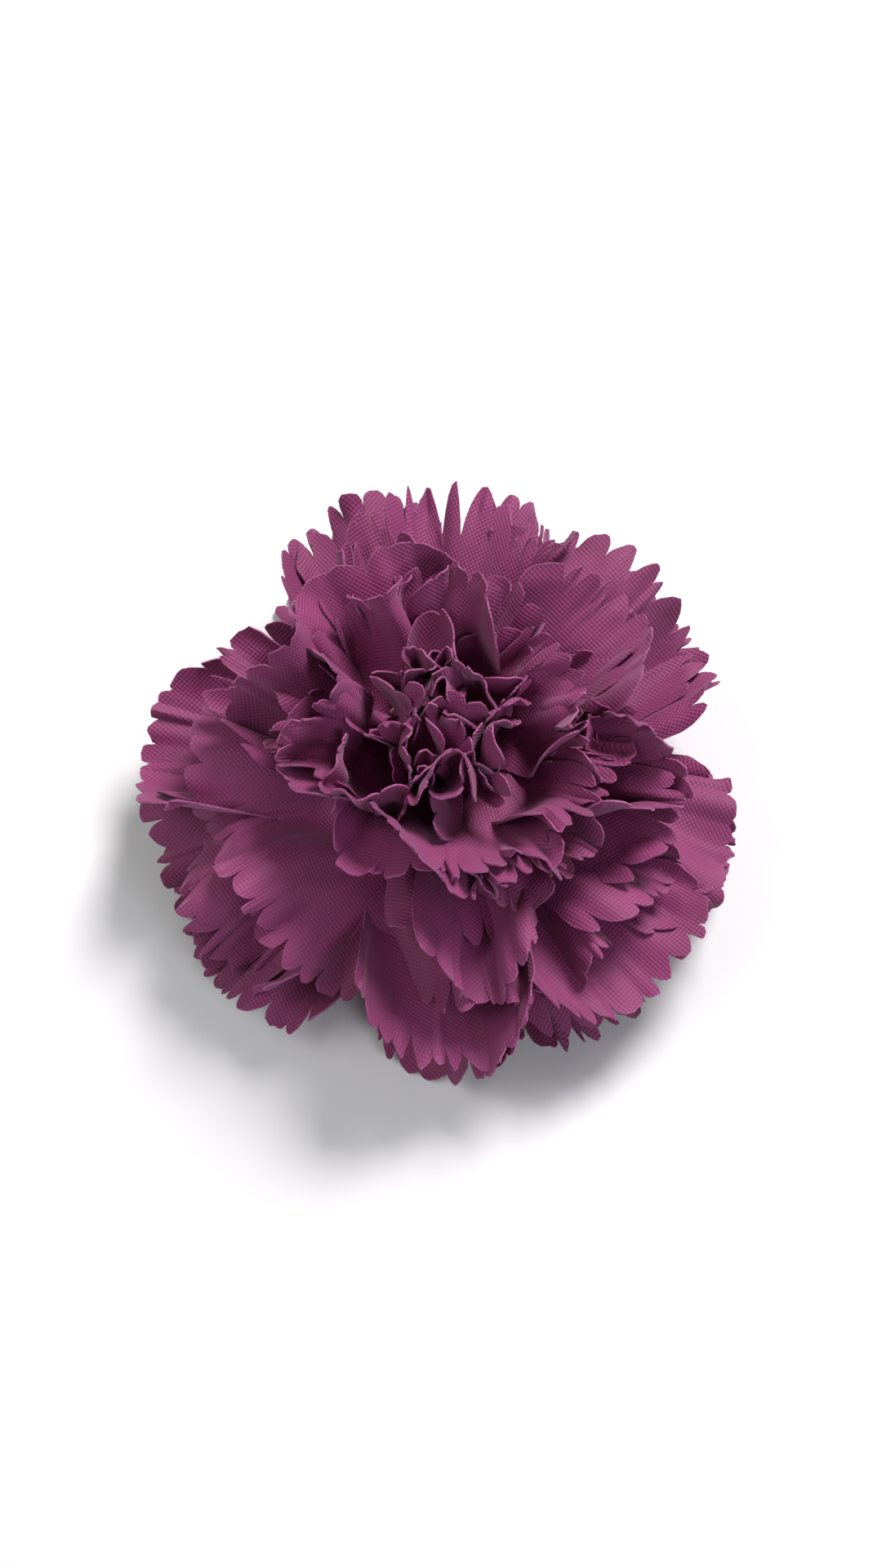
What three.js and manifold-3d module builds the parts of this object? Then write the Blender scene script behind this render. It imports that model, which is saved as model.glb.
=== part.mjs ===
// A stemless carnation head made of cloth, as florists and dressmakers buy it. Discs of woven
// polyester are die-cut into petals, threaded on a moulded peg, spread by star-shaped spacers
// and locked by a button. The peg stands in a green calyx, whose foot has a socket for a stem.
// Millimetres, +Z up. The head rests on its foot and on the tips of its lowest petals, at
// z = 0, and the origin is under the middle of the whole head. -Y is the head's front, where
// its petals spread lowest.
import * as THREE from "three";
import { mergeVertices } from "three/addons/utils/BufferGeometryUtils.js";
import Module from "manifold-3d";

// Fits
const GAP = 0.35; // between pieces that touch or pass through each other
const TABLE_GAP = 0.15; // under the lowest petal tips

// Cloth
const CLOTH = 0.45; // thickness of a stiffened petal disc
const ARCH = 5; // degrees that a petal's foot is steeper, and its tip flatter, than its middle
const CUP = 2; // degrees that a petal's sides rise over its middle
const SLIT = 0.13; // half width of the cut between two petals, as a share of half a petal
const NOTCH = 2.6; // depth of the cuts between two teeth of a petal's edge
const TEETH = 3; // teeth on a petal's edge

// Each group of discs is cut alike. Its first and last disc rise by these degrees at the
// head's front and at its back. They turn up past the clamp radius, over the length of the
// bend, where the cuts between their petals end. A spacer with the radius given lies under
// the group. Steep discs need wider gaps at the peg.
const GROUPS = [
  {
    name: "outer",
    discs: 4,
    petals: 6,
    cut: 46,
    front: [-13, -3],
    back: [-10, 18],
    clamp: [6.6, 6],
    bend: 5.5,
    gap: 0.45,
    spacer: 0,
  },
  {
    name: "middle",
    discs: 3,
    petals: 6,
    cut: 39,
    front: [5, 22],
    back: [26, 42],
    clamp: [5.7, 5.3],
    bend: 5.5,
    gap: 0.55,
    spacer: 4.6,
  },
  {
    name: "inner",
    discs: 4,
    petals: 6,
    cut: 31,
    front: [31, 55],
    back: [47, 65],
    clamp: [5.1, 4.2],
    bend: 4.5,
    gap: 0.7,
    spacer: 3.9,
  },
  {
    name: "heart",
    discs: 4,
    petals: 5,
    cut: 22,
    front: [64, 84],
    back: [70, 86],
    clamp: [3.9, 2.4],
    bend: 3,
    gap: 0.7,
    spacer: 2.9,
  },
];
const STAGGER = 0.5; // turn from one disc to the next, as a share of a petal
const DRIFT = 7; // degrees more that each disc is turned, so that no two line up

// Peg
const PEG_RADIUS = 1.1;
const BARB = 0.25; // height of the rings that grip the discs
const BARB_PITCH = 2.4;
const FLANGE_RADIUS = 3.9;
const FLANGE = 1.1; // thickness

// Spacers and button
const SPACER = 0.8; // thickness
const SPACER_LOBE = 0.35; // depth of the star's five lobes
const BUTTON_RADIUS = 2.1;
const BUTTON_HEIGHT = 2.2;
const BUTTON_ROOF = 0.8; // over the peg's end

// Calyx
const FOOT_RADIUS = 4.4;
const FOOT_HEIGHT = 1.6;
const WAIST_RADIUS = 3.4;
const SOCKET_RADIUS = 1.6;
const SOCKET_DEPTH = 4.2;
const SOCKET_ROOF = 1.3; // plastic between the socket and the cup
const CUP_WALL = 0.8;
const CUP_DEPTH = 5; // from the cup's floor to the tips of its sepals
const RIM_RADIUS = 6.2;
const SEPALS = 5;
const SEPAL_CUT = 2.4; // depth of the notches between two sepals

// Mesh
const ROUND = 30; // sides of a round piece
const IN_BEND = 3; // steps along a petal's bend
const ALONG_PETAL = 2; // steps along a petal, past its bend
const WALK_STEPS = 8; // shorter steps within each of these, to find where the cloth gets to

const TAU = 2 * Math.PI;
const radians = THREE.MathUtils.degToRad;
const { lerp, smoothstep } = THREE.MathUtils;

const cloth = new THREE.MeshStandardMaterial({ color: 0x7c3560, roughness: 0.85, metalness: 0 });
const greenPlastic = new THREE.MeshStandardMaterial({ color: 0x4f7a3a, roughness: 0.55, metalness: 0 });

// A closed ring: a closed loop of [radius, height] points for each column, joined up round
// the axis.
function ring(columns, loopFor) {
  const loops = columns.map((column) => loopFor(column));
  const perLoop = loops[0].length;
  const positions = [];
  columns.forEach(({ azimuth }, i) => {
    for (const [radius, height] of loops[i])
      positions.push(radius * Math.cos(azimuth), radius * Math.sin(azimuth), height);
  });
  const triangles = [];
  for (let i = 0; i < columns.length; i++) {
    const next = (i + 1) % columns.length;
    for (let j = 0; j < perLoop; j++) {
      const k = (j + 1) % perLoop;
      const [a, b, c, d] = [i * perLoop + j, next * perLoop + j, next * perLoop + k, i * perLoop + k];
      triangles.push(a, b, c, a, c, d);
    }
  }
  const geometry = new THREE.BufferGeometry();
  geometry.setAttribute("position", new THREE.Float32BufferAttribute(positions, 3));
  geometry.setIndex(triangles);
  return geometry;
}

const evenly = (count) => Array.from({ length: count }, (_, i) => ({ azimuth: (TAU * i) / count }));

// A turned solid from its outline, which starts at the bottom of the axis and ends at its top.
const turned = (outline) =>
  new THREE.LatheGeometry(
    outline.map(([radius, height]) => new THREE.Vector2(radius, height)),
    ROUND,
  ).rotateX(Math.PI / 2);

function toManifold(geometry) {
  const bare = geometry.clone().deleteAttribute("normal").deleteAttribute("uv");
  const merged = mergeVertices(bare, 1e-4);
  return new wasm.Manifold(
    new wasm.Mesh({
      numProp: 3,
      vertProperties: new Float32Array(merged.attributes.position.array),
      triVerts: new Uint32Array(merged.index.array),
    }),
  );
}

function fromManifold(solid) {
  const { vertProperties, triVerts } = solid.getMesh();
  const geometry = new THREE.BufferGeometry();
  geometry.setAttribute("position", new THREE.BufferAttribute(vertProperties, 3));
  geometry.setIndex(new THREE.BufferAttribute(triVerts, 1));
  return geometry;
}

// Heights of the stack, from the foot up. Every disc and spacer gets its seat here.
const cupFloor = SOCKET_DEPTH + SOCKET_ROOF;
const rimHeight = cupFloor + CUP_DEPTH;
const holeRadius = PEG_RADIUS + BARB + GAP;

function stack() {
  let height = rimHeight + GAP;
  const discs = [];
  const spacers = [];
  for (const group of GROUPS) {
    if (group.spacer) {
      spacers.push({ name: `spacer_under_${group.name}`, radius: group.spacer, height });
      height += SPACER + GAP;
    }
    for (let i = 0; i < group.discs; i++) {
      discs.push({ group, name: `petal_disc_${group.name}_${i + 1}`, index: i, seat: height + CLOTH / 2 });
      height += CLOTH + group.gap;
    }
  }
  return { discs, spacers, top: height };
}

// The points that a strip of cloth reaches at each of the stops along it, from the axis.
function walk(slopeAt, stops) {
  const point = new THREE.Vector2();
  let along = 0;
  return stops.map((stop) => {
    const step = (stop - along) / WALK_STEPS;
    for (let i = 0; i < WALK_STEPS; i++) {
      const slope = slopeAt(along + step / 2);
      point.add(new THREE.Vector2(Math.cos(slope), Math.sin(slope)).multiplyScalar(step));
      along += step;
    }
    return point.clone();
  });
}

// A disc's slope at each distance along a petal: flat where it is clamped, then arched.
function slopeFor({ group, index }, rise) {
  const clamp = lerp(...group.clamp, index / (group.discs - 1));
  return (along) => {
    const arch = ARCH * Math.cos((Math.PI * along) / GROUPS[0].cut);
    return radians(rise + arch) * smoothstep(along, clamp, clamp + group.bend);
  };
}

// The rise at which the middle of a drooping petal ends on the table.
function tableRise(disc) {
  const wanted = TABLE_GAP + CLOTH / 2 - disc.seat;
  let [low, high] = [-60, 0];
  for (let i = 0; i < 30; i++) {
    const rise = (low + high) / 2;
    const [tip] = walk(slopeFor(disc, rise), [disc.group.cut]);
    if (tip.y < wanted) low = rise;
    else high = rise;
  }
  return high;
}

// The rise of a disc at an azimuth, in degrees. The lowest disc reaches the table all round.
function riseAt(disc, azimuth, fromMiddle) {
  const { group, index } = disc;
  if (disc === lowest) return lowestRise + CUP * fromMiddle ** 2;
  const cup = CUP * (fromMiddle ** 2 - 1 / 3);
  const share = index / (group.discs - 1);
  const back = (1 + Math.sin(azimuth)) / 2;
  return lerp(lerp(...group.front, share), lerp(...group.back, share), back) + cup;
}

// A disc cut into petals: a ring that starts flat at the peg and turns up or down past the
// clamped middle. Each petal's edge has rounded shoulders and teeth.
function petalDisc(disc, turn) {
  const { group, index, seat } = disc;
  const clamp = lerp(...group.clamp, index / (group.discs - 1));
  const halfPetal = Math.PI / group.petals;
  const steps = 2 * TEETH;
  const acrossPetal = Array.from({ length: steps + 1 }, (_, i) => lerp(-1 + SLIT, 1 - SLIT, i / steps));
  const inPetal = [-1, ...acrossPetal]; // from the cut before it
  const columns = [];
  for (let p = 0; p < group.petals; p++)
    inPetal.forEach((x, i) =>
      columns.push({ azimuth: turn + halfPetal * (2 * p + x), x, tooth: i % 2 === 0 && i > 0 }),
    );

  const edgeOf = ({ x, tooth }) => {
    if (x === -1) return clamp + group.bend;
    const shoulder = group.cut * (1 - 0.1 * x ** 4);
    return tooth ? shoulder : shoulder - NOTCH;
  };
  return ring(columns, (column) => {
    const edge = edgeOf(column);
    const inSlit = column.x === -1;
    const stops = [holeRadius];
    for (let i = 0; i <= IN_BEND; i++) stops.push(clamp + (group.bend * i) / IN_BEND);
    if (inSlit) stops.pop();
    const last = stops.at(-1);
    const more = ALONG_PETAL + (inSlit ? 1 : 0);
    for (let i = 1; i <= more; i++) stops.push(lerp(last, edge, i / more));
    const slopeAt = slopeFor(disc, riseAt(disc, column.azimuth, column.x));
    const middle = walk(slopeAt, stops).map((point) => point.add(new THREE.Vector2(0, seat)));
    const across = middle.map((point, i) => {
      const before = middle[Math.max(i - 1, 0)];
      const after = middle[Math.min(i + 1, middle.length - 1)];
      const way = after.clone().sub(before).normalize();
      return i === 0 ? new THREE.Vector2(0, 1) : new THREE.Vector2(-way.y, way.x);
    });
    const upper = middle.map((point, i) => point.clone().addScaledVector(across[i], CLOTH / 2).toArray());
    const lower = middle.map((point, i) => point.clone().addScaledVector(across[i], -CLOTH / 2).toArray());
    return [...lower, ...upper.reverse()];
  });
}

function spacer({ radius, height }) {
  return ring(evenly(ROUND), ({ azimuth }) => {
    const outer = radius + SPACER_LOBE * Math.cos(5 * azimuth);
    return [
      [holeRadius, height],
      [outer, height],
      [outer, height + SPACER],
      [holeRadius, height + SPACER],
    ];
  });
}

// The peg stands on a flange on the cup's floor. Its rings grip the cloth, and it ends in
// the button.
function peg(pegTop) {
  const bottom = cupFloor + GAP;
  const outline = [
    [0, bottom],
    [FLANGE_RADIUS, bottom],
    [FLANGE_RADIUS, bottom + FLANGE],
    [PEG_RADIUS, bottom + FLANGE],
  ];
  for (let height = rimHeight; height + BARB_PITCH < pegTop; height += BARB_PITCH)
    outline.push([PEG_RADIUS, height], [PEG_RADIUS + BARB, height + BARB], [PEG_RADIUS, height + 3 * BARB]);
  outline.push([PEG_RADIUS, pegTop - PEG_RADIUS / 2], [PEG_RADIUS / 2, pegTop], [0, pegTop]);
  return turned(outline);
}

function button(bottom) {
  const top = bottom + BUTTON_HEIGHT;
  return turned([
    [0, top - BUTTON_ROOF],
    [holeRadius, top - BUTTON_ROOF],
    [holeRadius, bottom],
    [BUTTON_RADIUS, bottom],
    [BUTTON_RADIUS, top - BUTTON_ROOF / 2],
    [BUTTON_RADIUS - BUTTON_ROOF / 2, top],
    [0, top],
  ]);
}

// The calyx: a foot with the stem's socket, a waist, and a cup whose rim is cut into sepals.
function calyx() {
  const floorRadius = FLANGE_RADIUS + GAP;
  const cup = toManifold(
    turned([
      [0, SOCKET_DEPTH],
      [SOCKET_RADIUS, SOCKET_DEPTH],
      [SOCKET_RADIUS, 0],
      [FOOT_RADIUS, 0],
      [FOOT_RADIUS, FOOT_HEIGHT],
      [WAIST_RADIUS, FOOT_HEIGHT + (FOOT_RADIUS - WAIST_RADIUS)],
      [floorRadius + CUP_WALL, cupFloor],
      [lerp(floorRadius, RIM_RADIUS, 0.7), lerp(cupFloor, rimHeight, 0.45)],
      [RIM_RADIUS, rimHeight],
      [RIM_RADIUS - CUP_WALL, rimHeight],
      [lerp(floorRadius, RIM_RADIUS, 0.7) - CUP_WALL, lerp(cupFloor, rimHeight, 0.5)],
      [floorRadius, cupFloor],
      [0, cupFloor],
    ]),
  );
  const notchHalf = (Math.PI * RIM_RADIUS) / SEPALS;
  const notch = new THREE.Shape([
    new THREE.Vector2(-notchHalf, CUP_WALL),
    new THREE.Vector2(0, -SEPAL_CUT),
    new THREE.Vector2(notchHalf, CUP_WALL),
  ]);
  return evenly(SEPALS).reduce((solid, { azimuth }) => {
    const wedge = new THREE.ExtrudeGeometry(notch, { depth: 2 * RIM_RADIUS, bevelEnabled: false })
      .rotateX(Math.PI / 2)
      .translate(0, 0, rimHeight)
      .rotateZ(azimuth + Math.PI / 2);
    return solid.subtract(toManifold(wedge));
  }, cup);
}

const wasm = await Module();
wasm.setup();

const head = new THREE.Group();
const add = (name, geometry, material) => {
  const mesh = new THREE.Mesh(geometry, material);
  mesh.name = name;
  head.add(mesh);
};

const { discs, spacers, top } = stack();
add("calyx", fromManifold(calyx()), greenPlastic);
add("peg", peg(top + BUTTON_HEIGHT - BUTTON_ROOF - GAP), greenPlastic);
spacers.forEach((place) => add(place.name, spacer(place), greenPlastic));
const [lowest] = discs;
const lowestRise = tableRise(lowest);
discs.forEach((disc, i) => {
  const turn = (TAU / disc.group.petals) * STAGGER * i + radians(DRIFT) * i;
  add(disc.name, petalDisc(disc, turn), cloth);
});
add("button", button(top), greenPlastic);

// The origin goes under the middle of the whole head.
const box = new THREE.Box3().setFromObject(head);
const middle = box.getCenter(new THREE.Vector3());
head.position.set(-middle.x, -middle.y, 0);

export default head;
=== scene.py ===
import math

import bpy
import numpy as np
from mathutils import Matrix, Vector
from mathutils.bvhtree import BVHTree


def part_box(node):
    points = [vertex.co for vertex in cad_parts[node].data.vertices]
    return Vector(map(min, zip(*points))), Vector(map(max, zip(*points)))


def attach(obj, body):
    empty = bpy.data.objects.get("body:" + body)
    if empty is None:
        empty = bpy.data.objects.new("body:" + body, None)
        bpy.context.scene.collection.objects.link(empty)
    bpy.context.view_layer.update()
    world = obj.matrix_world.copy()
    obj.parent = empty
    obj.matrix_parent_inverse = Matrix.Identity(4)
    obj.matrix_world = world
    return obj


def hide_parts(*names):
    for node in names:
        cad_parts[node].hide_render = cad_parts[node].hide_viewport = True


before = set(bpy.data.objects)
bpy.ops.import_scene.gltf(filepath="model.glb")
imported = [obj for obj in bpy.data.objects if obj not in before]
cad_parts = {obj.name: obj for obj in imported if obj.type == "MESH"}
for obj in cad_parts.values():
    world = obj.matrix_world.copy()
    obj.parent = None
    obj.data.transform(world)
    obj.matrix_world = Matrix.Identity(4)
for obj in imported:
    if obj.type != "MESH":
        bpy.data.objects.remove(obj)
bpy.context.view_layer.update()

MM = 0.001
rng = np.random.default_rng(11)

# ---------------------------------------------------------------- the discs and their seats
# Each group's discs are cut alike: cut is how far a petal reaches from the axis, and foot
# where the slits between petals end. A pair belongs to the group's first and last disc:
# clamp is the radius that is held flat at the peg, front and back the rise at the head's
# front and back, curl what is added to it by the tip, all in degrees, and squeeze how narrow
# a petal's tip is drawn against its flat width. lift is how much the petals' rises differ.
# The teeth are cut_depth deep, and the more pointed the nearer point is to 0.8.
GROUPS = {
    "outer": dict(
        discs=4, petals=6, cut=46.0, foot=12.1, clamp=(6.6, 6.0), front=(-15, -2), back=(-12, 26),
        curl=(-4, -14), squeeze=(0.8, 0.7), teeth=11, cut_depth=3.9, point=0.5, lift=5,
    ),
    "middle": dict(
        discs=3, petals=6, cut=39.0, foot=11.2, clamp=(5.7, 5.3), front=(5, 19), back=(27, 42),
        curl=(-16, -14), squeeze=(0.76, 0.64), teeth=9, cut_depth=3.3, point=0.4, lift=7,
    ),
    "inner": dict(
        discs=4, petals=6, cut=31.0, foot=9.6, clamp=(5.1, 4.2), front=(24, 46), back=(42, 58),
        curl=(-20, -6), squeeze=(0.7, 0.56), teeth=7, cut_depth=6.0, point=0.08, lift=5,
    ),
    "heart": dict(
        discs=4, petals=5, cut=22.0, foot=6.9, clamp=(3.9, 2.4), front=(48, 90), back=(54, 94),
        curl=(4, 0), squeeze=(0.62, 0.4), teeth=5, cut_depth=3.3, point=0.08, lift=4,
    ),
}
LOWEST_RISE = -16  # of the disc that lies on the table
LOWEST_LIFT = 1.2
STAGGER = 0.5  # turn from one disc to the next, as a share of a petal
DRIFT = 7.0  # degrees more
HOLE = 1.75  # radius of the hole in a disc
# Round the rim the petals bunch together and leave openings, at these azimuths and as wide
# as these half angles, in degrees.
OPENINGS = ((9, 9), (141, 11), (246, 12))
# The innermost discs are pinched from side to side, so that their folds run front to back,
# and spread in that direction by this share of the pinch.
PINCH = {"heart": (0.9, 0.7), "inner": (1.0, 0.9)}
PINCHED_OUT = 0.45
# Petals that stand out, by group, place in it and where they point, with their own rise, curl
# and folds: pleats and phase are the number of waves across the petal and where they start,
# cup how far its sides rise over its middle, and edge how deep its teeth are for its group.
STANDING_OUT = (
    ("middle", 2, 122, dict(rise=50, curl=-8, squeeze=0.95, pleats=0.8, phase=1.6, cup=1.2, edge=0.12)),
    ("middle", 2, 155, dict(rise=46, curl=6, squeeze=0.55, pleats=1.0, phase=1.6, edge=0.4)),
    ("middle", 2, 35, dict(rise=34, curl=-18, squeeze=0.9, pleats=1.5, cup=2.0, edge=0.8)),
    ("middle", 1, 182, dict(rise=22, curl=-38, squeeze=0.9, pleats=1.0, phase=3.1, cup=-1.5, edge=0.5)),
    ("middle", 0, 208, dict(rise=12, curl=-42, squeeze=0.88, pleats=1.0, phase=3.1, cup=-2.0, edge=0.2)),
    ("middle", 1, 236, dict(rise=14, curl=-36, squeeze=0.85, pleats=1.0, phase=3.1, edge=0.8)),
    ("inner", 0, 276, dict(rise=26, curl=-30, squeeze=0.9, pleats=1.0, phase=3.1, cup=-1.0, edge=0.6)),
    ("inner", 1, 245, dict(rise=34, curl=-26, squeeze=0.9, pleats=1.0, phase=0.0, cup=1.0, edge=0.8)),
    ("inner", 2, 300, dict(rise=38, curl=-20, squeeze=0.8, pleats=1.2, phase=3.1, cup=0.5, edge=0.8)),
    ("inner", 3, 268, dict(rise=48, curl=-20, squeeze=0.85, pleats=0.9, phase=3.1, cup=0.5, edge=0.7)),
    ("inner", 2, 20, dict(rise=34, curl=-10, squeeze=0.66, pleats=3.0, phase=0.0, cup=0.5, edge=1.1)),
    ("inner", 1, 350, dict(rise=28, curl=-10, squeeze=0.7, pleats=2.6, phase=1.0, cup=0.5, edge=1.1)),
    ("inner", 3, 5, dict(rise=44, curl=-8, squeeze=0.6, pleats=2.6, phase=2.0, cup=0.5, edge=1.1)),
    ("heart", 3, 265, dict(rise=103, curl=6, squeeze=0.5, pleats=1.2, phase=0.5)),
    ("heart", 3, 330, dict(rise=97, curl=10, squeeze=0.5, pleats=1.0, phase=1.6)),
    ("heart", 3, 60, dict(rise=96, curl=0, squeeze=0.4, pleats=1.2, phase=2.6)),
    ("outer", 3, 320, dict(rise=2, curl=-10, squeeze=0.95, pleats=3.5, cup=-1.0, edge=1.1)),
    ("outer", 3, 85, dict(rise=26, curl=-4, squeeze=0.85, pleats=2.5, cup=1.0, edge=1.3)),
)

axis_low, axis_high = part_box("button")
AXIS = ((axis_low + axis_high) / 2 / MM)[:2]


def heights(node):
    low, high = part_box(node)
    return low.z / MM, high.z / MM


def seats(below, above, count):
    """Heights at which a group's discs sit, spread evenly between two pieces on the peg."""
    pitch = (above - below) / count
    return [below + pitch * (i + 0.5) for i in range(count)]


def find_seats():
    """Gives each group the seats between the spacers, the calyx's rim and the button."""
    spacers = [heights(f"spacer_under_{name}") for name in ("middle", "inner", "heart")]
    floors = [heights("calyx")[1]] + [top for _, top in spacers]
    roofs = [bottom for bottom, _ in spacers] + [heights("button")[0]]
    for group, floor, roof in zip(GROUPS.values(), floors, roofs):
        group["seats"] = seats(floor, roof, group["discs"])


def list_discs():
    found = []
    for name, group in GROUPS.items():
        for i in range(group["discs"]):
            k = len(found)
            share = i / (group["discs"] - 1)
            turn = 360 / group["petals"] * STAGGER * k + DRIFT * k
            lap = 1 if k % 2 else -1  # which neighbour each petal lies over
            found.append(
                dict(group, name=name, index=i, share=share, seat=group["seats"][i], turn=turn, lap=lap)
            )
    return found


find_seats()
discs = list_discs()

# ---------------------------------------------------------------- the petals' own facts
# How much the petals differ from each other: the spread of each of these facts.
SPREAD = dict(swing=5, curl=11, twist=5, squeeze=0.06, pleats=0.25, cup=1.3, edge=0.35)
FARTHEST = 1.8  # spreads that a rise, swing, curl or twist may be out
TWIST = 8  # degrees by which one side of a petal lies over its neighbour
CUP = 0.5
EDGE = 0.9
# Some petals lie open, some are folded along the middle, the rest in several pleats: how
# common each habit is, how much wider it leaves the tip, and its number of waves.
HABITS = ((0.34, 0.12, 1.4), (0.26, -0.14, 1.0), (0.4, -0.02, 2.6))
NARROWEST = 0.34
WIDEST = 0.95
FEWEST_WAVES = 0.8
FILLED = 0.9  # share of a petal's flat angle that keeps clear of an opening
MOST_ASIDE = 17  # degrees that a petal moves to leave an opening
MOST_POINTED = 20  # degrees that a petal that stands out moves to point where it should
OVERLAPPING = 42  # degrees between petals, under which one lies over the other
STEEPER = 1.2  # degrees that a petal stands over each disc that it lies on
STEEPEST = 88


def smooth(x, low, high):
    t = np.clip((np.asarray(x, float) - low) / (high - low), 0, 1)
    return t * t * (3 - 2 * t)


def mix(pair, share):
    return pair[0] + (pair[1] - pair[0]) * share


def turned_away(degrees, from_degrees):
    return (degrees - from_degrees + 180) % 360 - 180


def bearing(disc, petal):
    return math.radians(disc["turn"] + 360 / disc["petals"] * petal)


def rise_at(disc, azimuth):
    back = ((1 + math.sin(azimuth)) / 2) ** 1.5
    return mix(disc["front"], disc["share"]) * (1 - back) + mix(disc["back"], disc["share"]) * back


def out_of_openings(disc, azimuth, swing, squeeze):
    """The swing of a petal at the rim, with enough added to leave the openings free."""
    for opening, half in OPENINGS:
        away = turned_away(math.degrees(azimuth) + swing, opening)
        lack = half + 180 / disc["petals"] * FILLED * squeeze - abs(away)
        if lack > 0:
            swing += math.copysign(min(lack, MOST_ASIDE), away)
    return swing


def petal_facts(disc, petal):
    """How one petal leaves the peg: its rise, curl, folds and the way it is bent aside."""
    azimuth = bearing(disc, petal)
    swing, lift, bend, wave = np.clip(rng.normal(0, 1, 4), -FARTHEST, FARTHEST)
    rise = rise_at(disc, azimuth) + disc["lift"] * lift
    if disc is discs[0]:
        rise = LOWEST_RISE + LOWEST_LIFT * lift
    squeeze = mix(disc["squeeze"], disc["share"]) + SPREAD["squeeze"] * rng.normal()
    habit = rng.choice(len(HABITS), p=[share for share, _, _ in HABITS])
    _, wider, waves = HABITS[habit]
    squeeze = float(np.clip(squeeze + wider, NARROWEST, WIDEST))
    pleats = waves + SPREAD["pleats"] * rng.normal()
    if disc["name"] == "heart":
        pleats = 0.45 + 0.5 * pleats  # its petals are too narrow for as many
    swing *= SPREAD["swing"]
    if disc["name"] in ("outer", "middle"):
        swing = out_of_openings(disc, azimuth, swing, squeeze)
    return dict(
        azimuth=azimuth,
        rise=rise,
        curl=mix(disc["curl"], disc["share"]) + SPREAD["curl"] * bend,
        swing=math.radians(swing),
        twist=math.radians((TWIST + SPREAD["twist"] * wave) * disc["lap"]),
        squeeze=squeeze,
        pleats=max(FEWEST_WAVES, pleats),
        phase=rng.uniform(0, 2 * math.pi),
        cup=rng.normal(CUP, SPREAD["cup"]),
        edge=float(np.clip(rng.normal(EDGE, SPREAD["edge"]), 0.2, 1.5)),
    )


def stand_out():
    """Gives the petal nearest to each listed one's place that one's own facts."""
    for name, index, pointing, own in STANDING_OUT:
        disc = next(d for d in discs if d["name"] == name and d["index"] == index)
        nearest = min(
            disc["facts"], key=lambda fact: abs(turned_away(math.degrees(fact["azimuth"]), pointing))
        )
        nearest.update(own)
        aside = turned_away(pointing, math.degrees(nearest["azimuth"]))
        nearest["swing"] = math.radians(np.clip(aside, -MOST_POINTED, MOST_POINTED))


def in_order():
    """Lifts a petal that would start under one of the two discs below it."""
    for k, disc in enumerate(discs):
        for fact in disc["facts"]:
            for under in range(max(0, k - 2), k):
                for other in discs[under]["facts"]:
                    apart = turned_away(math.degrees(fact["azimuth"]), math.degrees(other["azimuth"]))
                    if abs(apart) < OVERLAPPING:
                        least = min(other["rise"] + STEEPER * (k - under), STEEPEST)
                        fact["rise"] = max(fact["rise"], least)


for disc in discs:
    disc["facts"] = [petal_facts(disc, p) for p in range(disc["petals"])]
stand_out()
in_order()

# ---------------------------------------------------------------- the cloth's first shape
ACROSS = 21  # points across a petal while it settles
ALONG = 16  # points along it
ROW_POWER = 0.85  # draws the rows together towards the tip
SLIT = 0.09  # share of a petal's flat angle lost at its tip to the slit beside it
SHOULDER = 0.13  # share by which a petal is shorter at its corners
FOLD = 0.24  # height of a wave for its length, when the cloth in it is just taken up
FREE_AFTER = 7  # past the foot, where a petal has left the ring that joins it to the others
TWISTED_AFTER = 10
SWUNG_AFTER = 12
INNERMOST = 0.7  # radius


def half_angle(disc, s):
    """Half of the angle that a petal takes up in the flat cut, at a distance s from the axis."""
    slit = SLIT * smooth(s, disc["foot"], disc["cut"])
    return math.pi / disc["petals"] * (1 - slit)


def shoulder(disc, x):
    """How far the flat petal reaches at x across it, from -1 to 1, to the tips of its teeth."""
    return disc["cut"] * (1 - SHOULDER * np.abs(x) ** 3.5)


def spine(disc, rise, curl, lengths):
    """Where a strip of cloth from the peg gets to, and its slope, at these lengths along it."""
    path = np.linspace(0, disc["cut"] * 1.1, 200)
    clamp = mix(disc["clamp"], disc["share"])
    slope = np.radians(rise) * smooth(path, clamp, disc["foot"])
    slope = slope + np.radians(curl) * smooth(path, disc["foot"], disc["cut"])
    step = path[1] - path[0]
    middles = (slope[1:] + slope[:-1]) / 2
    r = np.concatenate([[0], np.cumsum(np.cos(middles) * step)])
    z = np.concatenate([[0], np.cumsum(np.sin(middles) * step)])
    r, z, slope = (np.interp(lengths, path, values) for values in (r, z, slope))
    return r, disc["seat"] + z, slope


def cone(disc, azimuth, x, s):
    """The cloth near the peg, where the petals are still joined to each other."""
    r, z, _ = spine(disc, rise_at(disc, azimuth), 0, s)
    angle = azimuth + x * math.pi / disc["petals"]
    return np.stack([r * np.cos(angle), r * np.sin(angle), z], -1)


def folded(disc, fact, x, s, along, across):
    """A petal drawn in at its tip, with the cloth's spare width taken up in waves."""
    r, z, slope = spine(disc, fact["rise"], fact["curl"], along)
    drawn = smooth(s, disc["foot"] * 0.7, disc["cut"])
    squeeze = 1 - (1 - fact["squeeze"]) * drawn
    width = 2 * s * math.sin(math.pi / disc["petals"]) * squeeze
    height = FOLD * width / fact["pleats"] * np.sqrt(np.maximum(1 / squeeze**2 - 1, 0))
    off = height * np.sin(math.pi * fact["pleats"] * x + fact["phase"])
    off = off + math.tan(fact["twist"]) * across * smooth(s, disc["foot"], disc["foot"] + TWISTED_AFTER)
    off = off + fact["cup"] * across**2 / disc["cut"] * drawn
    out = np.maximum(r - np.sin(slope) * off, INNERMOST)
    side = across * squeeze
    c = math.cos(fact["azimuth"])
    d = math.sin(fact["azimuth"])
    return np.stack([out * c - side * d, out * d + side * c, z + np.cos(slope) * off], -1)


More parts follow.
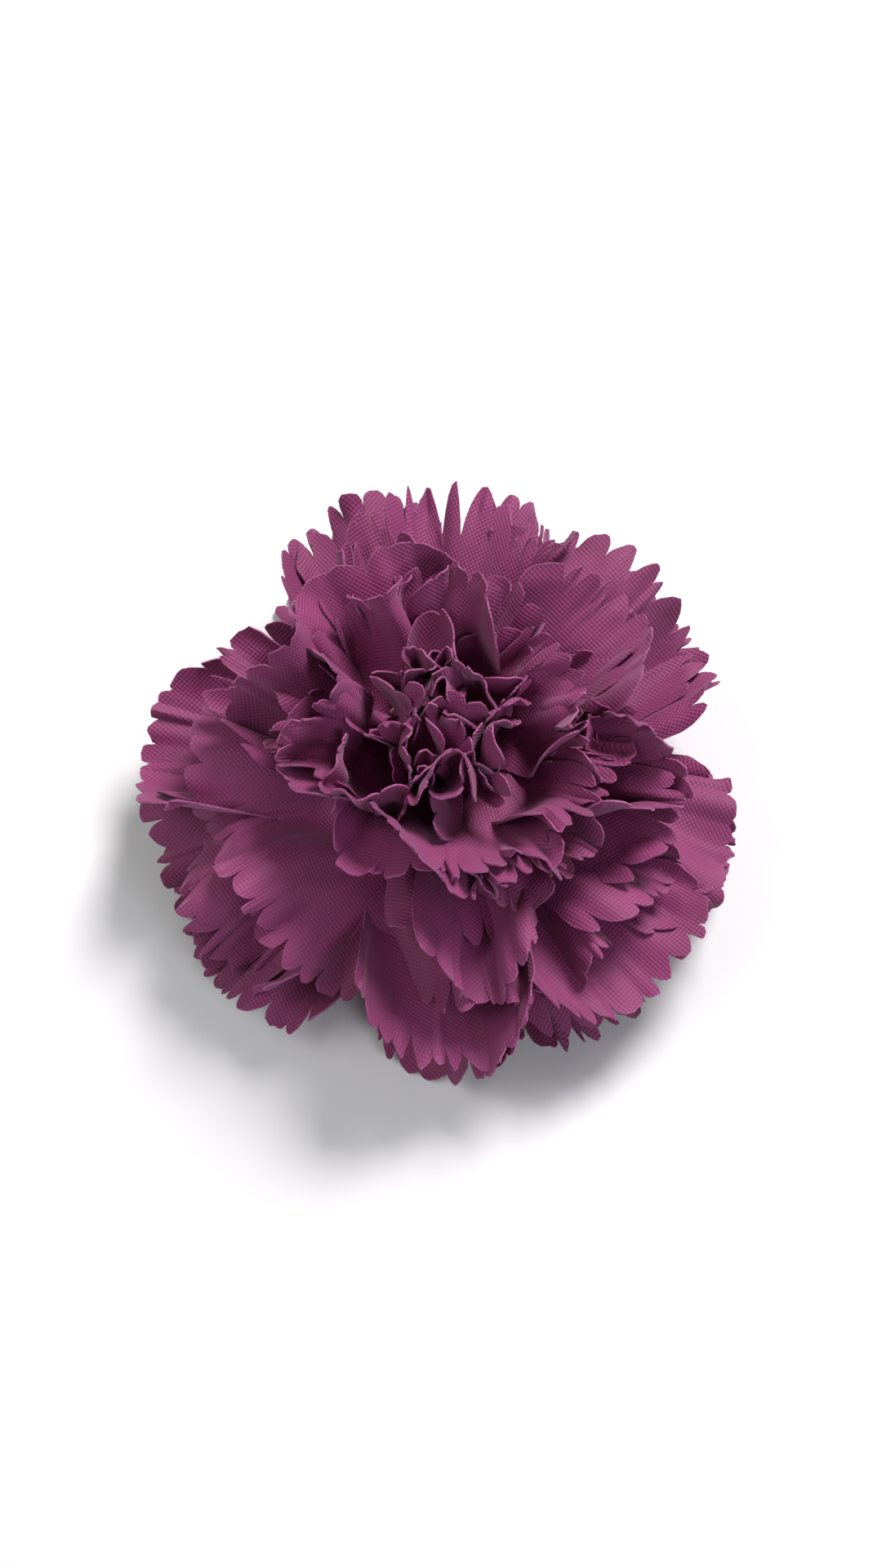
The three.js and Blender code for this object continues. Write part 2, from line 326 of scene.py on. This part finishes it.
def petal_start(disc, fact):
    """Where a petal's points are before it settles, and where they are in the flat cut."""
    foot = disc["foot"]
    x = np.linspace(-1, 1, ACROSS)[:, None] * np.ones((1, ALONG))
    t = np.linspace(0, 1, ALONG)[None, :] ** ROW_POWER
    s = foot + (shoulder(disc, x) - foot) * t
    angle = x * half_angle(disc, s)
    along = s * np.cos(angle)
    across = s * np.sin(angle)
    joined = cone(disc, fact["azimuth"], x, s)
    near = smooth(s, foot, foot + FREE_AFTER)
    points = joined * (1 - near[..., None]) + folded(disc, fact, x, s, along, across) * near[..., None]
    turn = fact["swing"] * smooth(s, foot, foot + SWUNG_AFTER)
    pinch = mix(PINCH.get(disc["name"], (1, 1)), disc["share"])
    side_to_side = (points[..., 0] * np.cos(turn) - points[..., 1] * np.sin(turn)) * (1 - (1 - pinch) * near)
    front_to_back = points[..., 0] * np.sin(turn) + points[..., 1] * np.cos(turn)
    front_to_back = front_to_back * (1 + (1 - pinch) * PINCHED_OUT * near)
    return np.stack([side_to_side, front_to_back, points[..., 2]], -1), np.stack([along, across], -1)


petals = []  # (disc number, petal number) of each
starts = []
flats = []
for k, disc in enumerate(discs):
    for p, fact in enumerate(disc["facts"]):
        points, flat = petal_start(disc, fact)
        petals.append((k, p))
        starts.append(points)
        flats.append(flat)
cloth = np.array(starts)
flats = np.array(flats)
design = cloth.copy()

# ---------------------------------------------------------------- the cloth settles
PINNED = 2  # rows of a petal held by the peg
SPACE = 0.9  # between the middles of two sheets that touch
NEAR_DISCS = 2  # discs above and below that a petal may touch
SEARCH = 3.0  # how far off a sheet may be to push a point
BESIDE = 0.6  # square of how far past a sheet's edge it still pushes
LARGEST_PUSH = 1.2
# How strongly a point is drawn back to where it started, in each round. The crowded petals
# of the heart and round it need more of it, to keep their folds open.
GUIDE = {"outer": 0.012, "middle": 0.012, "inner": 0.02, "heart": 0.03}
# Where petals lie on the table, each disc stays a little above the one below it.
TABLE = 0.25
LAYER = 0.45
# How stiff the links are between points that are so many columns and rows apart: along the
# threads, across a cell, and over two cells, against bending.
STIFFNESS = {(1, 0): 0.9, (0, 1): 0.9, (1, 1): 0.5, (1, -1): 0.5, (2, 0): 0.14, (0, 2): 0.28}
FIRST_ROUNDS = 60
TURNS = 20
ROUNDS = 12  # in each turn
LAST_ROUNDS = 10
IRONINGS = 2

guide = np.array([GUIDE[discs[k]["name"]] for k, _ in petals]).reshape(-1, 1, 1, 1)
lowest_z = np.array([TABLE + LAYER * k for k, _ in petals]).reshape(-1, 1, 1)
free = np.ones(cloth.shape[:3] + (1,))
free[:, :, :PINNED] = 0


def pairs(columns_apart, rows_apart):
    """All the pairs of points that are so far apart on the petals' grids, as slices. Each
    two slices pair points without using one twice."""
    found = []
    columns = np.arange(ACROSS - abs(columns_apart))
    rows = np.arange(ALONG - abs(rows_apart))
    step = 2 * (abs(columns_apart) or abs(rows_apart))
    for first in range(step):
        i = columns[first::step] if columns_apart else columns
        j = rows if columns_apart else rows[first::step]
        one = (slice(None), i[:, None], j[None, :] + max(0, -rows_apart))
        other = (slice(None), i[:, None] + columns_apart, j[None, :] + max(0, rows_apart))
        found.append((one, other))
    return found


def make_links():
    """For each set of pairs: its slices, flat lengths, stiffness, and what may move."""
    links = []
    for apart, stiffness in STIFFNESS.items():
        for one, other in pairs(*apart):
            rest = np.linalg.norm(flats[one] - flats[other], axis=-1, keepdims=True)
            both = np.maximum(free[one] + free[other], 1)
            links.append((one, other, rest, stiffness, free[one], free[other], both))
    return links


links = make_links()


def hold_lengths(points, rounds):
    """Draws linked points to their distance in the flat cut, and keeps them off the table."""
    for _ in range(rounds):
        for one, other, rest, stiffness, free_one, free_other, both in links:
            here = points[one]
            there = points[other]
            gap = there - here
            length = np.linalg.norm(gap, axis=-1, keepdims=True) + 1e-9
            move = gap * (stiffness * (length - rest) / length / both)
            points[one] = here + move * free_one
            points[other] = there - move * free_other
        points[:] += (design - points) * guide * free
        points[..., 2] = np.maximum(points[..., 2], lowest_z)


def grid_faces():
    """The four corners of each cell of a petal's grid."""
    corner = np.arange(ACROSS * ALONG).reshape(ACROSS, ALONG)
    cells = np.stack([corner[:-1, :-1], corner[1:, :-1], corner[1:, 1:], corner[:-1, 1:]], -1)
    return cells.reshape(-1, 4)


def make_families():
    """Every second petal of a disc, so that no family holds two that touch."""
    found = {}
    for number, (k, p) in enumerate(petals):
        odd_one_out = discs[k]["petals"] % 2 and p == discs[k]["petals"] - 1
        found.setdefault((k, 2 if odd_one_out else p % 2), []).append(number)
    return found


cells = grid_faces()
families = make_families()
family_of = {number: key for key, members in families.items() for number in members}


def plant_trees(points):
    """A search tree of each family's sheets."""
    trees = {}
    for key, members in families.items():
        corners = points[members].reshape(-1, 3).tolist()
        faces = np.concatenate([cells + m * ACROSS * ALONG for m in range(len(members))])
        trees[key] = BVHTree.FromPolygons(corners, faces.tolist())
    return trees


def side_of(k, p, other_k, other_p):
    """1 where a petal lies over the other, -1 where it lies under it."""
    if other_k != k:
        return 1 if other_k < k else -1
    n = discs[k]["petals"]
    if other_p == (p + 1) % n:
        return discs[k]["lap"]
    if other_p == (p - 1) % n:
        return -discs[k]["lap"]
    return 1


def push_on(point, k, p, near):
    """How far the sheets nearby push one point of a petal."""
    move = Vector()
    for key, tree in near:
        place, normal, face, _ = tree.find_nearest(point, SEARCH)
        if place is None:
            continue
        other_p = petals[families[key][face // len(cells)]][1]
        gap = point - place
        height = gap.dot(normal)
        if gap.length_squared - height * height > BESIDE:
            continue
        side = side_of(k, p, key[0], other_p)
        lack = SPACE - height * side
        if lack > 0:
            move += normal * (side * lack * 0.5)
    return move


def keep_apart(points):
    """Pushes each point of a petal off the sheets above, below and beside it."""
    trees = plant_trees(points)
    push = np.zeros_like(points)
    for number, (k, p) in enumerate(petals):
        near = [
            (key, tree) for key, tree in trees.items()
            if abs(key[0] - k) <= NEAR_DISCS and key != family_of[number]
        ]
        for i in range(ACROSS):
            for j in range(PINNED, ALONG):
                push[number, i, j] = push_on(Vector(points[number, i, j]), k, p, near)
    size = np.linalg.norm(push, axis=-1, keepdims=True)
    points += push * np.minimum(1, LARGEST_PUSH / np.maximum(size, 1e-6))


def iron(points, rounds):
    """Takes small dents out, with the rows at the peg and the petals' outlines kept."""
    for _ in range(rounds):
        flat = points.copy()
        flat[:, 1:-1] += 0.25 * (points[:, 2:] + points[:, :-2] - 2 * points[:, 1:-1])
        even = flat.copy()
        even[:, :, PINNED:-1] += 0.25 * (
            flat[:, :, PINNED + 1 :] + flat[:, :, PINNED - 1 : -2] - 2 * flat[:, :, PINNED:-1]
        )
        points[:, :, PINNED:] = even[:, :, PINNED:]


hold_lengths(cloth, FIRST_ROUNDS)
for _ in range(TURNS):
    keep_apart(cloth)
    hold_lengths(cloth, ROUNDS)
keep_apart(cloth)
hold_lengths(cloth, LAST_ROUNDS)
iron(cloth, IRONINGS)

# ---------------------------------------------------------------- the sheets
THICKNESS = 0.24
HUB_ROWS = 5
TIP_ROWS = 24
TOOTH_STEPS = np.array([0.0, 0.03, 0.08, 0.2, 0.35, 0.5, 0.65, 0.8, 0.92, 0.97])  # across a tooth
TIPS_SHORT = 0.4  # how far the teeth's tips fall short of the shoulder
TIPS_DIFFER = 0.5
DEEP_CUT = 0.07  # of the cut, added to the depth of a few of the cuts between teeth
SLANT = 0.7
FRAY = 0.1
SPRING = 0.16  # of its depth, that a tooth stands off its neighbours
RIB = 0.15
FLUTTER = 0.2
INSIDE = 9  # distance from an edge that stands for any that is far from it


def cubic_weights(where, count):
    """Index and weights of the four grid lines round each place, on a grid of count lines."""
    where = np.clip(where, 0, count - 1 - 1e-6)
    base = np.floor(where).astype(int)
    f = where - base
    weights = np.stack(
        [
            -0.5 * f + f**2 - 0.5 * f**3,
            1 - 2.5 * f**2 + 1.5 * f**3,
            0.5 * f + 2 * f**2 - 1.5 * f**3,
            -0.5 * f**2 + 0.5 * f**3,
        ],
        -1,
    )
    lines = np.clip(base[..., None] + np.arange(-1, 3), 0, count - 1)
    return lines, weights


def settled_at(disc, number, x, s):
    """The settled petal's points at these columns and distances from the axis when flat."""
    grid_s = (s - disc["foot"]) / (shoulder(disc, x)[:, None] - disc["foot"])
    where_j = np.clip(grid_s, 0, 1) ** (1 / ROW_POWER) * (ALONG - 1)
    lines_i, weights_i = cubic_weights((x + 1) / 2 * (ACROSS - 1), ACROSS)
    rows = np.einsum("cw,cwjk->cjk", weights_i, cloth[number][lines_i])
    lines_j, weights_j = cubic_weights(where_j, ALONG)
    column = np.arange(len(x))[:, None, None]
    return np.einsum("crw,crwk->crk", weights_j, rows[column, lines_j])


def normals(points):
    normal = np.cross(np.gradient(points, axis=0), np.gradient(points, axis=1))
    return normal / (np.linalg.norm(normal, axis=-1, keepdims=True) + 1e-9)


def uneven(spread, count):
    return np.clip(1 + spread * rng.normal(size=count), 0.5, 1.9)


def tooth_columns(disc):
    """Columns of the fine sheet across a petal: x, the tooth each is in, and where in it."""
    teeth = disc["teeth"]
    widths = uneven(0.36, teeth)
    edges = np.concatenate([[0], np.cumsum(widths)]) / widths.sum() * 2 - 1
    x = edges[:-1, None] + (edges[1:] - edges[:-1])[:, None] * TOOTH_STEPS
    tooth = np.repeat(np.arange(teeth), len(TOOTH_STEPS))
    place = np.tile(TOOTH_STEPS, teeth)
    return np.append(x.ravel(), 1.0), np.append(tooth, teeth - 1), np.append(place, 1.0)


def outline(disc, fact, x, tooth, place):
    """Length of the petal at each column, and how deep the cut beside it is. A tooth falls
    to its cuts partly in a point, partly in a curve and partly in a square shoulder."""
    teeth = disc["teeth"]
    edge = fact["edge"]
    depths = disc["cut_depth"] * uneven(0.3, teeth + 1) * edge
    depths += np.where(rng.random(teeth + 1) < 0.15 * edge, DEEP_CUT * disc["cut"], 0)
    tip_at = np.clip(0.5 + 0.14 * rng.normal(size=teeth), 0.3, 0.7)[tooth]
    off = np.abs(place - tip_at) / np.where(place < tip_at, tip_at, 1 - tip_at)
    depth = np.where(place < tip_at, depths[tooth], depths[tooth + 1])
    tips = TIPS_DIFFER * edge * rng.normal(size=teeth)[tooth]
    point = np.clip(disc["point"] + 0.2 * rng.normal(size=teeth), 0, 0.75)[tooth]
    profile = point * off**1.25 + 0.2 * off**4 + (0.8 - point) * off**13
    slant = (SLANT * edge * rng.normal(size=teeth))[tooth] * (place - 0.5)
    fray = FRAY * rng.normal(size=len(x))
    return shoulder(disc, x) + tips + slant - TIPS_SHORT - depth * profile + fray, depth


def relief(disc, x, tooth, place, depth, s):
    """How far each point stands off the settled petal: the teeth spring a little apart, each
    is pressed to a rib that runs down the petal, and the cloth flutters towards its edge."""
    cut = disc["cut"]
    spring = SPRING * depth[:, None] * rng.normal(size=disc["teeth"])[tooth][:, None]
    into = smooth(s, (shoulder(disc, x) - depth)[:, None], shoulder(disc, x)[:, None])
    fade = (1 - np.abs(place * 2 - 1) ** 6)[:, None]
    ribs = np.abs(rng.normal(0, RIB, disc["teeth"]))[tooth] * (1 - np.cos(2 * math.pi * place))
    rib = -ribs[:, None] * smooth(s, 0.45 * cut, cut)
    flutter = np.zeros_like(s)
    for _ in range(3):
        waves = rng.uniform(1.5, 5)
        phase = rng.uniform(0, 2 * math.pi)
        drift = rng.normal(0, 0.12)
        flutter += FLUTTER * rng.normal() * np.sin(math.pi * waves * x[:, None] + phase + drift * s)
    flutter *= smooth(s, 0.5 * cut, cut) * (cut / GROUPS["outer"]["cut"]) ** 2
    return spring * into * fade + rib + flutter


def fine_petal(disc, number, fact):
    """A petal's points in columns, their places in the flat cut, and how far each is from
    the cut edge."""
    foot = disc["foot"]
    x, tooth, place = tooth_columns(disc)
    edge, depth = outline(disc, fact, x, tooth, place)
    t = np.linspace(0, 1, TIP_ROWS + 1)[None, 1:] ** 0.8
    s = foot + (edge[:, None] - foot) * t
    tip = settled_at(disc, number, x, s)
    tip = tip + normals(tip) * relief(disc, x, tooth, place, depth, s)[..., None]
    hub_s = np.linspace(HOLE, foot, HUB_ROWS + 1)[None, :] * np.ones((len(x), 1))
    hub = cone(disc, fact["azimuth"], x[:, None] * np.ones_like(hub_s), hub_s)
    all_s = np.concatenate([hub_s, s], 1)
    half = half_angle(disc, all_s)
    angle = fact["azimuth"] + x[:, None] * half
    uv = np.stack([all_s * np.cos(angle), all_s * np.sin(angle)], -1)
    to_slit = np.where(all_s > foot, (1 - np.abs(x[:, None])) * half * all_s, INSIDE)
    rim = np.minimum(edge[:, None] - all_s, to_slit)
    return np.concatenate([hub, tip], 1), uv, np.clip(rim, 0, INSIDE)


def disc_points(k, disc):
    """A disc's points, places in the flat cut, distances from its edge, and faces."""
    numbers = [number for number, (own_k, _) in enumerate(petals) if own_k == k]
    fine = [fine_petal(disc, number, fact) for number, fact in zip(numbers, disc["facts"])]
    points, uvs, rims = zip(*fine)
    grids = np.arange(sum(rim.size for rim in rims)).reshape(len(rims), *rims[0].shape)
    for grid, following in zip(grids, np.roll(grids, -1, axis=0)):
        # Near the peg, a petal's last column is the next one's first.
        grid[-1, : HUB_ROWS + 1] = following[0, : HUB_ROWS + 1]
    corners = (grids[:, 1:, :-1], grids[:, 1:, 1:], grids[:, :-1, 1:], grids[:, :-1, :-1])
    faces = np.stack(corners, -1).reshape(-1, 4)
    used, faces = np.unique(faces, return_inverse=True)
    points = np.reshape(points, (-1, 3))[used]
    points[:, 2] = np.maximum(points[:, 2], TABLE + LAYER * k)
    points[:, 0] += AXIS[0]
    points[:, 1] += AXIS[1]
    return points, np.reshape(uvs, (-1, 2))[used], np.ravel(rims)[used], faces.reshape(-1, 4)


def disc_mesh(k, disc):
    points, uv, rim, faces = disc_points(k, disc)
    mesh = bpy.data.meshes.new(f"cloth_{disc['name']}_{disc['index'] + 1}")
    mesh.from_pydata((points * MM).tolist(), [], faces.tolist())
    layer = mesh.uv_layers.new(name="weave_mm")
    layer.uv.foreach_set("vector", uv[faces.reshape(-1)].astype(np.float32).ravel())
    mesh.attributes.new("rim_mm", "FLOAT", "POINT").data.foreach_set("value", rim.astype(np.float32))
    return mesh


def make_disc(k, disc):
    mesh = disc_mesh(k, disc)
    piece = bpy.data.objects.new(mesh.name, mesh)
    bpy.context.scene.collection.objects.link(piece)
    wall = piece.modifiers.new("thickness", "SOLIDIFY")
    wall.thickness = THICKNESS * MM
    wall.offset = 0
    bpy.ops.object.select_all(action="DESELECT")
    piece.select_set(True)
    bpy.context.view_layer.objects.active = piece
    bpy.ops.object.modifier_apply(modifier=wall.name)
    bpy.ops.object.shade_smooth_by_angle(angle=math.radians(48))
    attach(piece, "root")
    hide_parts(f"petal_disc_{disc['name']}_{disc['index'] + 1}")
    return piece


# ---------------------------------------------------------------- finishes
COLOUR_A = 6  # a Mix node's sockets for colours
COLOUR_B = 7
MIXED = 2


def linear(colour):
    value = [int(colour[i : i + 2], 16) / 255 for i in (1, 3, 5)]
    return [v / 12.92 if v <= 0.04045 else ((v + 0.055) / 1.055) ** 2.4 for v in value] + [1.0]


def per_metre(size):
    """A noise pattern's scale, for spots of this size in millimetres."""
    return 1 / (size * MM)


def add(material, kind, links=(), sockets=None, **settings):
    """Adds a node, with its settings, the values of its sockets and the links into it."""
    node = material.node_tree.nodes.new(kind)
    for name, value in settings.items():
        setattr(node, name, value)
    for socket, value in (sockets or {}).items():
        node.inputs[socket].default_value = value
    for output, socket in links:
        material.node_tree.links.new(output, node.inputs[socket])
    return node


def finish(name, colour, roughness, **sockets):
    material = bpy.data.materials.new(name)
    material.use_nodes = True
    shader = material.node_tree.nodes["Principled BSDF"]
    shader.inputs["Base Color"].default_value = linear(colour)
    shader.inputs["Roughness"].default_value = roughness
    for socket, value in sockets.items():
        shader.inputs[socket.replace("_", " ")].default_value = value
    return material, shader


THREAD = 0.38  # the real threads are 0.33 mm, drawn a little coarser so that they show
WEAVE_RELIEF = 0.08
CREASE = 4.76
CREASE_RELIEF = 0.3
DYE_CLOUD = 18.2
RAW_EDGE = 0.22  # width of the pale rim where the cut threads show their ends
FRAYED_PATCH = 2.38


def woven_height(material):
    """A checker of threads: the product of two waves, each across one set of them."""
    uv = add(material, "ShaderNodeUVMap", uv_map="weave_mm")
    split = add(material, "ShaderNodeSeparateXYZ", [(uv.outputs[0], 0)])
    waves = []
    for axis in (0, 1):
        turns = add(
            material,
            "ShaderNodeMath",
            [(split.outputs[axis], 0)],
            {1: math.pi / THREAD},
            operation="MULTIPLY",
        )
        waves.append(add(material, "ShaderNodeMath", [(turns.outputs[0], 0)], operation="SINE"))
    both = [(wave.outputs[0], socket) for socket, wave in enumerate(waves)]
    return add(material, "ShaderNodeMath", both, operation="MULTIPLY")


def creased_normal(material, place, weave):
    """The weave's bump, on top of the cloth's own shallow creases."""
    threads = add(
        material,
        "ShaderNodeBump",
        [(weave.outputs[0], "Height")],
        {"Strength": 0.55, "Distance": WEAVE_RELIEF * MM},
    )
    creases = add(
        material,
        "ShaderNodeTexNoise",
        [(place.outputs["Object"], "Vector")],
        {"Scale": per_metre(CREASE), "Detail": 3},
    )
    return add(
        material,
        "ShaderNodeBump",
        [(creases.outputs["Fac"], "Height"), (threads.outputs[0], "Normal")],
        {"Strength": 0.5, "Distance": CREASE_RELIEF * MM},
    )


def dye_with_painted_thread_highlights(material, place, weave):
    """A dye that has taken unevenly, with a painted highlight that makes the tops of the threads paler."""
    cloud = add(
        material,
        "ShaderNodeTexNoise",
        [(place.outputs["Object"], "Vector")],
        {"Scale": per_metre(DYE_CLOUD), "Detail": 2},
    )
    shade = add(
        material, "ShaderNodeMapRange", [(cloud.outputs["Fac"], "Value")], {"From Min": 0.3, "From Max": 0.7}
    )
    dye = add(
        material,
        "ShaderNodeMix",
        [(shade.outputs[0], 0)],
        {COLOUR_A: linear("#61113B"), COLOUR_B: linear("#741D50")},
        data_type="RGBA",
    )
    # Painted highlight: the tops of the threads are mixed up to 0.28 of the way towards a paler plum, as if
    # lit, leaving the hollows between them darker.
    painted_thread_highlight = add(
        material,
        "ShaderNodeMapRange",
        [(weave.outputs[0], "Value")],
        {"From Min": -1.0, "From Max": 1.0, "To Max": 0.28},
    )
    return add(
        material,
        "ShaderNodeMix",
        [(painted_thread_highlight.outputs[0], 0), (dye.outputs[MIXED], COLOUR_A)],
        {COLOUR_B: linear("#984981")},
        data_type="RGBA",
    )


def raw_edged(material, place, threads):
    """The same colours with a paler rim along the cut, in patches where it has frayed."""
    rim_mm = add(material, "ShaderNodeAttribute", attribute_name="rim_mm")
    rim = add(
        material,
        "ShaderNodeMapRange",
        [(rim_mm.outputs["Fac"], "Value")],
        {"From Max": RAW_EDGE, "To Min": 0.5, "To Max": 0.0},
    )
    patches = add(
        material,
        "ShaderNodeTexNoise",
        [(place.outputs["Object"], "Vector")],
        {"Scale": per_metre(FRAYED_PATCH)},
    )
    frayed = add(
        material,
        "ShaderNodeMapRange",
        [(patches.outputs["Fac"], "Value")],
        {"From Min": 0.4, "From Max": 0.65, "To Min": 0.2},
    )
    pale = add(
        material, "ShaderNodeMath", [(rim.outputs[0], 0), (frayed.outputs[0], 1)], operation="MULTIPLY"
    )
    return add(
        material,
        "ShaderNodeMix",
        [(pale.outputs[0], 0), (threads.outputs[MIXED], COLOUR_A)],
        {COLOUR_B: linear("#965080")},
        data_type="RGBA",
    )


def woven_polyester():
    # Dyed plain-woven polyester, heat-set: a soft, slightly silky plum, with a fine checker
    # of threads, bumped, whose tops carry a painted highlight, and paler raw edges.
    material, shader = finish(
        "plain_woven_polyester_plum",
        "#74355C",
        0.62,
        IOR=1.45,
        Sheen_Weight=0.24,
        Sheen_Roughness=0.5,
        Sheen_Tint=linear("#DCC4DA"),
    )
    place = add(material, "ShaderNodeTexCoord")
    weave = woven_height(material)
    normal = creased_normal(material, place, weave)
    colour = raw_edged(material, place, dye_with_painted_thread_highlights(material, place, weave))
    material.node_tree.links.new(normal.outputs[0], shader.inputs["Normal"])
    material.node_tree.links.new(colour.outputs[MIXED], shader.inputs["Base Color"])
    return material


FLOW_CLOUD = 5.56
MOULD_GRAIN = 0.385
MOULD_RELIEF = 0.03


def moulded_polyethylene():
    # Injection-moulded polyethylene: a waxy mid green, cloudy in places, with the fine
    # orange-peel skin of a cheap mould and a broad, soft shine.
    material, shader = finish(
        "moulded_polyethylene_green",
        "#4F7A3A",
        0.45,
        IOR=1.51,
        Subsurface_Weight=0.15,
        Subsurface_Scale=1 * MM,
    )
    place = add(material, "ShaderNodeTexCoord")
    clouds = add(
        material,
        "ShaderNodeTexNoise",
        [(place.outputs["Object"], "Vector")],
        {"Scale": per_metre(FLOW_CLOUD)},
    )
    green = add(
        material,
        "ShaderNodeMix",
        [(clouds.outputs["Fac"], 0)],
        {COLOUR_A: linear("#456E31"), COLOUR_B: linear("#5B8A45")},
        data_type="RGBA",
    )
    shine = add(
        material,
        "ShaderNodeMapRange",
        [(clouds.outputs["Fac"], "Value")],
        {"From Min": 0.3, "From Max": 0.7, "To Min": 0.38, "To Max": 0.52},
    )
    skin = add(
        material,
        "ShaderNodeTexNoise",
        [(place.outputs["Object"], "Vector")],
        {"Scale": per_metre(MOULD_GRAIN)},
    )
    bump = add(
        material,
        "ShaderNodeBump",
        [(skin.outputs["Fac"], "Height")],
        {"Strength": 0.3, "Distance": MOULD_RELIEF * MM},
    )
    links = material.node_tree.links
    links.new(green.outputs[MIXED], shader.inputs["Base Color"])
    links.new(shine.outputs[0], shader.inputs["Roughness"])
    links.new(bump.outputs[0], shader.inputs["Normal"])
    return material


petal_cloth = woven_polyester()
moulded_green = moulded_polyethylene()

for k, disc in enumerate(discs):
    make_disc(k, disc).data.materials.append(petal_cloth)
for node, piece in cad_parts.items():
    if not node.startswith("petal_disc"):
        piece.data.materials.clear()
        piece.data.materials.append(moulded_green)

# ---------------------------------------------------------------- floor, light and camera
# All in metres.
FLOOR_SIZE = 6
LIT_AT = Vector((0, 0, 0.02))  # the point that the lamps face
WORLD_STRENGTH = 0.26
AIM = Vector((0.0, -0.001, 0.014))  # the point that the camera faces
DISTANCE = 0.377
ELEVATION = math.radians(70)
LENS = 58.5  # mm
SENSOR = 36  # mm

scene = bpy.context.scene
scene.view_settings.view_transform = "Standard"


def lay_floor():
    bpy.ops.mesh.primitive_plane_add(size=FLOOR_SIZE)
    floor = bpy.context.object
    floor.name = "floor"
    # White card: matt, and even all over.
    floor.data.materials.append(finish("matt_white_card", "#CDCDCC", 0.9)[0])


def lamp(name, place, size, power, colour):
    data = bpy.data.lights.new(name, "AREA")
    data.shape = "DISK"
    data.size = size
    data.energy = power
    data.color = linear(colour)[:3]
    thing = bpy.data.objects.new(name, data)
    thing.location = place
    thing.rotation_euler = (LIT_AT - Vector(place)).to_track_quat("-Z", "Y").to_euler()
    scene.collection.objects.link(thing)


def light_the_room():
    world = bpy.data.worlds.new("studio")
    world.use_nodes = True
    background = world.node_tree.nodes["Background"]
    background.inputs["Color"].default_value = linear("#FFFFFF")
    background.inputs["Strength"].default_value = WORLD_STRENGTH
    scene.world = world


def set_camera():
    eye = bpy.data.cameras.new("camera")
    eye.sensor_width = SENSOR
    eye.lens = LENS
    eye.clip_start = 0.01
    eye.clip_end = 10
    camera = bpy.data.objects.new("camera", eye)
    way = Vector((0, -math.cos(ELEVATION), math.sin(ELEVATION)))
    camera.location = AIM + way * DISTANCE
    camera.rotation_euler = (-way).to_track_quat("-Z", "Y").to_euler()
    scene.collection.objects.link(camera)
    scene.camera = camera


lay_floor()
lamp("soft_key", (0.26, 0.4, 0.62), size=0.3, power=9.3, colour="#FFFAFD")
lamp("soft_left", (-0.5, 0.0, 0.6), size=0.5, power=2.6, colour="#FFFFFF")
lamp("soft_front", (0.45, -0.5, 0.45), size=0.4, power=2.6, colour="#EAEBFC")
light_the_room()
set_camera()
